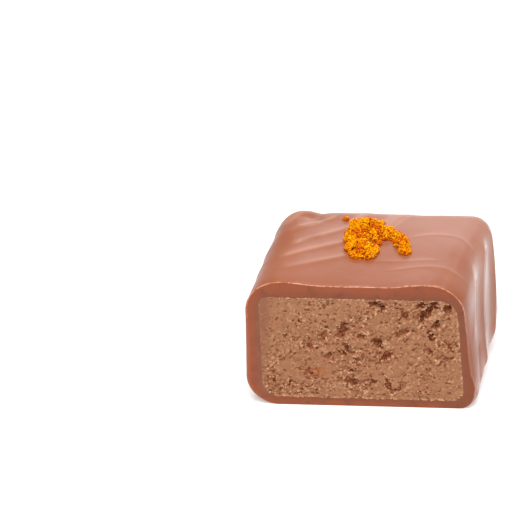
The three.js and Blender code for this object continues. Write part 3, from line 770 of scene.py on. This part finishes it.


# The cut face's relief and what its colour depends on, at points in x and z. Three sizes of grain each add
# domes, and leave a pit where a grain is missing. Pits, cracks and the given cavities come on top. Pits,
# cracks, cavities and deeper places get painted shade, and pale specks on some grains and round the
# cavities' rims are partly painted highlights.
def faceRelief(points):
    bend = np.stack([layered(points, crumb["warpSize"], seed) for seed in (51, 61)], -1)
    warped = points + crumb["warp"] * bend
    torn = tornAt(warped)
    relief = crumb["swell"] * layered(points, crumb["swellSize"], 131)
    tone = crumb["tone"] + crumb["toneSpread"] * layered(points, crumb["toneSize"], 132)
    pit = np.zeros(len(points))
    speck = np.zeros(len(points))
    hollow = 0.12 * hollowAt(warped)
    for size, seed in crumb["grains"]:
        near, border, mark, site = strewn(warped, size, seed)
        ownCell = np.round(site / size * 7)
        tornHere = tornAt(site)
        coarse = smooth(0.2, 0.4, size)
        dome = np.clip(near / crumb["domeReach"], 0, 1) ** 2
        chance = mix(*crumb["missing"], tornHere) * mix(1.3, 0.5, coarse)
        missing = (mark < chance) * smooth(0, 0.3, border) * smooth(0.7, 0.5, size)
        height = mix(*crumb["domes"], tornHere) + crumb["cavityDomes"] * smooth(0.1, 0.4, hollow)
        relief = relief + size * height * dome
        relief = relief + crumb["steps"] * size * tornHere * (mark - 0.5)
        relief = relief + crumb["missingDepth"] * size ** 0.8 * missing
        pit = np.maximum(pit, missing * mix(0.5, 0.75, coarse))
        tone = tone + mix(*crumb["contrast"], tornHere) * (mark - 0.5)
        gone = smooth(0.2, 0.5, hashed(ownCell, seed + 6))
        hollow = np.maximum(hollow, gone * hollowAt(site) * smooth(0, 0.1, border) * mix(1.0, 0.8, coarse))
        # Pale specks on some grains' tops, partly painted highlights.
        bright = smooth(0.84, 0.96, hashed(ownCell, seed + 5)) * (1 - dome)
        speck = np.maximum(speck, bright * mix(*crumb["bright"], tornHere) * smooth(0.6, 0.25, size))
    pits = smooth(0.42, 0.56, layered(warped, crumb["pitSize"], 121)) * smooth(0.2, 0.7, torn)
    cracks = bell(layered(warped, crumb["crackSize"], 111) / crumb["crackWidth"])
    cracks = cracks * smooth(-0.1, 0.2, layered(points, 0.7, 113)) * smooth(0.1, 0.6, torn)
    relief = relief + crumb["pitDepth"] * pits + crumb["crackDepth"] * cracks
    relief = relief + crumb["cavityRelief"] * hollow
    # Painted shade in pits, cracks and cavities.
    pit = np.maximum(pit, np.maximum(0.7 * pits, 0.55 * cracks))
    pit = np.clip(np.maximum(pit, smooth(0.08, 0.3, hollow)), 0, 1)
    # A painted highlight round the cavities' rims.
    rim = smooth(0.0, 0.05, hollow) * smooth(0.2, 0.08, hollow) * smooth(-0.2, 0.5, noise(points, 0.2, 137))
    speck = np.maximum(speck, 0.8 * rim)
    # Painted shade where the face lies deeper.
    low = 0.5 * smooth(0.06, 0.3, relief)
    values = {"pit": pit * 0.8, "tone": np.clip(tone, 0, 1), "low": low, "speck": speck * (1 - pit)}
    return relief, values
    return relief, values


fillingFront = {
    "overlap": 0.03,  # how far the filling reaches into the coating
    "rimReach": 0.2, "rimOut": 0.06, "rimRagged": 0.16, "rimSize": 0.6, "rimRelief": -0.02, "rimSpecks": 0.8,
    "spine": (9.0, 19.0), "spineLevel": 8.2,  # the rim is pushed away from this level line
    "smearFrom": (3.4, 2.0), "smearLean": 0.06, "smearLevel": 8, "smearRelief": 0.01, "smearFlat": 0.85,
}


# The cut face at points in x and z: its relief, a rim that is pushed out unevenly, and the coating that the
# knife smeared over the left.
def frontFace(flatPoints, toEdge):
    front = fillingFront
    relief, values = faceRelief(flatPoints)
    spineX = np.clip(flatPoints[:, 0], *front["spine"])
    spine = np.stack([spineX, np.full(len(spineX), front["spineLevel"])], -1)
    border = bell(toEdge / front["rimReach"])
    ragged = front["rimOut"] + front["rimRagged"] * layered(flatPoints, front["rimSize"], 133)
    flatPoints = flatPoints + unit(flatPoints - spine) * (border * ragged)[:, None]
    leaning = flatPoints[:, 0] - front["smearLean"] * (flatPoints[:, 1] - front["smearLevel"])
    smeared = smooth(*front["smearFrom"], leaning)
    relief = mix(relief, front["rimRelief"] + 0.5 * relief, border)
    relief = mix(relief, front["smearRelief"], smeared * front["smearFlat"])
    values["film"] = smeared * (0.75 + 0.25 * layered(flatPoints, 1.2, 134))
    specks = front["rimSpecks"] * border * smooth(0.1, 0.6, noise(flatPoints, 0.2, 135))
    values["speck"] = np.maximum(values["speck"], specks)
    return np.stack([flatPoints[:, 0], relief, flatPoints[:, 1]], -1), values


# How strong each kind of spot is at points: bells round their places, broken up by noise.
def spotsAt(points):
    values = {}
    broken = smooth(-0.6, 0.1, noise(points[:, [0, 2]], 0.35, 141))
    for key, spots in fillingSpots.items():
        values[key] = np.zeros(len(points))
        for x, z, wide, tall, share in spots:
            away = np.hypot((points[:, 0] - x) / wide, (points[:, 2] - z) / tall)
            values[key] = np.maximum(values[key], share * bell(away) * broken)
    return values


# Levels at the given shares of a ring's height, and the ring's left and right ends there.
def rowsOf(ring, shares):
    bottom, top = ring[:, 1].min(), ring[:, 1].max()
    levels = mix(bottom + 0.002, top - 0.002, shares)
    between = (ring[:, 1] > bottom + 0.001) & (ring[:, 1] < top - 0.001)
    onRight = ring[:, 0] > ring[:, 0].mean()
    ends = []
    for side in (~onRight, onRight):
        wall = ring[side & between]
        wall = wall[np.argsort(wall[:, 1], kind="stable")]
        ends.append(np.interp(levels, wall[:, 1], wall[:, 0]))
    return levels, *ends


# A grid over the cut face whose rows fit the outline, then its rim carried back to the far wall.
def fillingSurface():
    steps, overlap, bevel = fillingSteps, fillingFront["overlap"], fillingShape["bevel"]
    nx, nz = steps["across"], steps["up"]
    farEnd = body["depth"] - fillingShape["farWall"]
    stations = np.array([0.0, 2.0, 9.0, farEnd - bevel, farEnd])
    rings = fillingRings(stations, np.array([-overlap, -overlap, -overlap, 0.0, bevel]), steps)
    up = np.arange(nz + 1) / nz
    up = up - np.sin(2 * math.pi * up) * steps["crowding"]
    across = np.arange(nx + 1) / nx
    levels, leftX, rightX = rowsOf(rings[0], up)
    x = mix(leftX[:, None], rightX[:, None], across)
    z = np.broadcast_to(levels[:, None], x.shape)
    toEdge = np.minimum(np.minimum(x - leftX[:, None], rightX[:, None] - x),
                        np.minimum(z - levels[0], levels[-1] - z))
    front, values = frontFace(np.stack([x.ravel(), z.ravel()], -1), toEdge.ravel())

    index = np.arange((nz + 1) * (nx + 1)).reshape(nz + 1, nx + 1)
    grid = np.stack([index[:-1, :-1], index[:-1, 1:], index[1:, 1:], index[1:, :-1]], -1).reshape(-1, 4)
    rim = np.concatenate([index[0, :-1], index[:-1, -1], index[-1, :0:-1], index[:0:-1, 0]])
    rimRow, rimColumn = np.divmod(rim, nx + 1)
    start, count = len(front), len(rim)
    walls = []
    for y, ring in zip(stations[1:], rings[1:]):
        levels, leftX, rightX = rowsOf(ring, up)
        wallX = mix(leftX[rimRow], rightX[rimRow], across[rimColumn])
        walls.append(leaned(wallX, np.full(count, y), levels[rimRow]))
    points = np.concatenate([front, *walls, [walls[-1].mean(0)]])
    k = np.arange(count)
    nextK = (k + 1) % count
    joint = np.stack([rim, start + k, start + nextK, rim[nextK]], -1)
    # This path goes from the cut to the far end, so its faces are turned over.
    sides = start + ringFaces(len(walls), count)[:, [0, 3, 2, 1]]
    end = fanFaces(len(points) - 1 - count, count, len(points) - 1, True)
    values = {key: np.append(value, np.zeros(len(points) - start)) for key, value in values.items()}
    values.update(spotsAt(points))
    return points, [grid, joint, sides, end], values


# Clumps of the heap: place, radius and height.
clumps = [
    (13.2, 8.9, 1.35, 1.15), (14.6, 7.6, 1.25, 1.0), (13.5, 7.5, 1.1, 0.85), (14.4, 9.4, 1.1, 1.05),
    (12.8, 11.0, 1.05, 1.0), (13.0, 12.7, 1.15, 1.0), (14.2, 11.6, 1.0, 0.9), (13.6, 14.8, 1.15, 0.95),
    (15.0, 15.1, 1.2, 0.95), (14.6, 13.2, 1.1, 0.95), (15.4, 8.6, 0.85, 0.8), (15.8, 10.4, 0.75, 0.8),
    (15.7, 12.4, 1.1, 0.9), (16.0, 14.6, 0.9, 0.7), (16.9, 12.4, 1.25, 1.15), (18.0, 12.2, 1.15, 1.0),
    (18.8, 11.2, 1.05, 0.95), (19.0, 9.9, 1.0, 1.1), (19.3, 8.5, 0.85, 0.75), (12.0, 16.3, 0.45, 0.45),
    (16.6, 15.5, 0.45, 0.35), (17.5, 13.4, 0.8, 0.7),
]
zest = {
    "seed": 5, "spacing": 0.158, "jitter": 0.45, "from": (11.2, 5.8, 0.0), "to": (21.2, 17.4, 1.6),
    "radius": (0.06, 0.13), "stretch": (0.6, 1.5), "uneven": 0.22, "shell": 0.4, "lift": 0.04,
    "lump": 1.1, "lumpLeast": 0.72, "lumpSpread": 0.45, "gap": 0.35, "gapDepth": 0.6,
    "shade": (0.6, 0.2), "lumpShade": 0.6, "innerShade": 0.15,  # shade is its mean and its spread
    # lowBelow, lowShare and gapShare set painted shade, and innerShade paints deeper crumbs darker as shade.
    "lowBelow": (0.35, 0.0), "lowShare": 0.6, "gapShare": 0.9,
}


# An octahedron with each face split in four, pushed out to a ball: 18 points and 32 faces.
def ballPattern():
    axes = np.array([(1, 0, 0), (0, 1, 0), (-1, 0, 0), (0, -1, 0), (0, 0, 1), (0, 0, -1)], float)
    equator = [(0, 1), (1, 2), (2, 3), (3, 0)]
    corners = [(a, b, 4) for a, b in equator] + [(b, a, 5) for a, b in equator]
    points = list(axes)
    middles = {}

    def middleOf(a, b):
        key = (min(a, b), max(a, b))
        if key not in middles:
            middles[key] = len(points)
            points.append(axes[a] + axes[b])
        return middles[key]

    faces = []
    for a, b, c in corners:
        ab, bc, ca = middleOf(a, b), middleOf(b, c), middleOf(c, a)
        faces += [(a, ab, ca), (ab, b, bc), (ca, bc, c), (ab, bc, ca)]
    return unit(np.array(points)), np.array(faces)


# Uneven grains of the given radii at the given places, each stretched and turned at random.
def grains(places, radii, rng):
    ball, pattern = ballPattern()
    count = len(places)
    shape = ball[None] * (1 + zest["uneven"] * rng.uniform(-1, 1, (count, len(ball), 1)))
    shape = shape * rng.uniform(*zest["stretch"], (count, 1, 3)) * radii[:, None, None]
    turns = np.linalg.qr(rng.normal(size=(count, 3, 3)))[0]
    turns[:, :, 0] *= np.sign(np.linalg.det(turns))[:, None]
    shape = np.einsum("nij,nkj->nki", turns, shape) + places[:, None]
    faces = pattern[None] + (np.arange(count) * len(ball))[:, None, None]
    return shape.reshape(-1, 3), faces.reshape(-1, 3)


# Crumbs on a jittered lattice just under the heap's surface, which is the highest of the clumps' domes, made
# lumpy by smaller domes. Those that lie low, deeper in the heap, or in the gaps between lumps, are painted
# darker as shade.
def zestSurface():
    rng = np.random.default_rng(zest["seed"])
    step, jitter = zest["spacing"], zest["jitter"]
    axes = [np.arange(first, last, step) for first, last in zip(zest["from"], zest["to"])]
    places = np.stack(np.meshgrid(*axes, indexing="ij"), -1).reshape(-1, 3)
    places = places + rng.uniform(-jitter, jitter, places.shape) * step
    heap = np.zeros(len(places))
    for x, y, radius, tall in clumps:
        share = 1 - ((places[:, 0] - x) ** 2 + (places[:, 1] - y) ** 2) / radius ** 2
        heap = np.maximum(heap, tall * np.sqrt(np.clip(share, 0, 1)))
    _, border, mark, _ = strewn(places[:, :2], zest["lump"], 151)
    gap = 1 - smooth(0, zest["gap"], border)
    lumpy = zest["lumpLeast"] + zest["lumpSpread"] * mark
    heap = heap * (lumpy - zest["gapDepth"] * gap * smooth(0.2, 0.6, heap))
    kept = (heap > 0) & (places[:, 2] < heap) & (places[:, 2] > heap - zest["shell"])
    places, heap, gap, mark = places[kept], heap[kept], gap[kept], mark[kept]
    depth = np.clip((heap - places[:, 2]) / zest["shell"], 0, 1)
    level = places[:, 2].copy()
    places[:, 2] += topAt(places[:, 0], places[:, 1]) + zest["lift"]
    radii = rng.uniform(*zest["radius"], len(places))
    points, faces = grains(places, radii, rng)
    shade = rng.normal(*zest["shade"], len(places)) + zest["lumpShade"] * (mark - 0.5)
    # Crumbs deeper in the heap are painted darker as shade.
    shade = np.clip(shade - zest["innerShade"] * depth, 0, 1)
    # Painted shade for crumbs low down and in the gaps between lumps.
    low = zest["lowShare"] * smooth(*zest["lowBelow"], level)
    low = np.clip(low + zest["gapShare"] * gap * smooth(0.2, 0.8, depth), 0, 0.9)
    each = len(points) // len(places)
    return points, faces, {"shade": np.repeat(shade, each), "low": np.repeat(low, each)}


# Moves a shape from its own measures to the frame: the middle of the coating's outline and the underside.
def place(points, middle):
    return points - np.array([middle[0], middle[1], 0])


coatingPoints, coatingFaces, coatingValues = coatingSurface()
lowCorner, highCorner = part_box("coating")
frameMiddle = np.array((lowCorner + highCorner) / 2) / mm
middle = (coatingPoints.min(0) + coatingPoints.max(0)) / 2 - frameMiddle
makePiece("chocolateCoating", place(coatingPoints, middle), coatingFaces, chocolateMaterial(),
          ["coating"], coatingValues)
print("coating made")

fillingPoints, fillingFaces, fillingValues = fillingSurface()
makePiece("pralineFilling", place(fillingPoints, middle), fillingFaces, pralineMaterial(),
          ["filling"], fillingValues)
print("filling made")

zestPoints, zestFaces, zestValues = zestSurface()
makePiece("candiedZest", place(zestPoints, middle), [zestFaces], zestMaterial(),
          ["coating"], zestValues, rounded=False)
print("zest made")

studio = {
    "cameraPlace": (-5.06, -211.41, 133.23), "lookAlong": (-0.0396, 0.8720, -0.4879),
    "focalPixels": 1950, "imageWidth": 519,
    "floorSize": 4000, "floorColour": (0.72, 0.72, 0.72, 1), "floorGlow": 0.35, "sky": 0.5,
    # place, aim, width, height, power in watts
    "lights": {
        "key": ((-15, -150, 380), (0, 0, 8), 260, 260, 2.0),
        "back": ((130, 540, 190), (0, 0, 10), 420, 330, 0.55),
    },
}


def makeCamera():
    camera = bpy.data.objects.new("camera", bpy.data.cameras.new("camera"))
    camera.data.sensor_width = 36
    camera.data.lens = 36 * studio["focalPixels"] / studio["imageWidth"]
    camera.data.clip_start, camera.data.clip_end = 0.01, 10
    camera.location = Vector(studio["cameraPlace"]) * mm
    camera.rotation_euler = Vector(studio["lookAlong"]).to_track_quat("-Z", "Y").to_euler()
    bpy.context.scene.collection.objects.link(camera)
    bpy.context.scene.camera = camera


def makeFloor():
    half = studio["floorSize"] * mm / 2
    mesh = bpy.data.meshes.new("floor")
    corners = [(-half, -half, 0), (half, -half, 0), (half, half, 0), (-half, half, 0)]
    mesh.from_pydata(corners, [], [(0, 1, 2, 3)])
    paint = Paint("floorPaint", {
        "Roughness": 0.9, "Base Color": studio["floorColour"], "Emission Color": (1, 1, 1, 1),
        "Emission Strength": studio["floorGlow"]})
    mesh.materials.append(paint.material)
    floor = bpy.data.objects.new("floor", mesh)
    bpy.context.scene.collection.objects.link(floor)


def makeLights():
    for name, (spot, aim, width, height, power) in studio["lights"].items():
        light = bpy.data.lights.new(name, "AREA")
        light.shape = "RECTANGLE"
        light.size, light.size_y, light.energy = width * mm, height * mm, power
        lamp = bpy.data.objects.new(name, light)
        lamp.location = Vector(spot) * mm
        lamp.rotation_euler = (Vector(aim) - Vector(spot)).to_track_quat("-Z", "Y").to_euler()
        bpy.context.scene.collection.objects.link(lamp)
    world = bpy.data.worlds.new("surroundings")
    world.use_nodes = True
    world.node_tree.nodes["Background"].inputs["Color"].default_value = (1, 1, 1, 1)
    world.node_tree.nodes["Background"].inputs["Strength"].default_value = studio["sky"]
    bpy.context.scene.world = world


makeCamera()
makeFloor()
makeLights()
bpy.context.scene.view_settings.view_transform = "Standard"
print("studio made")
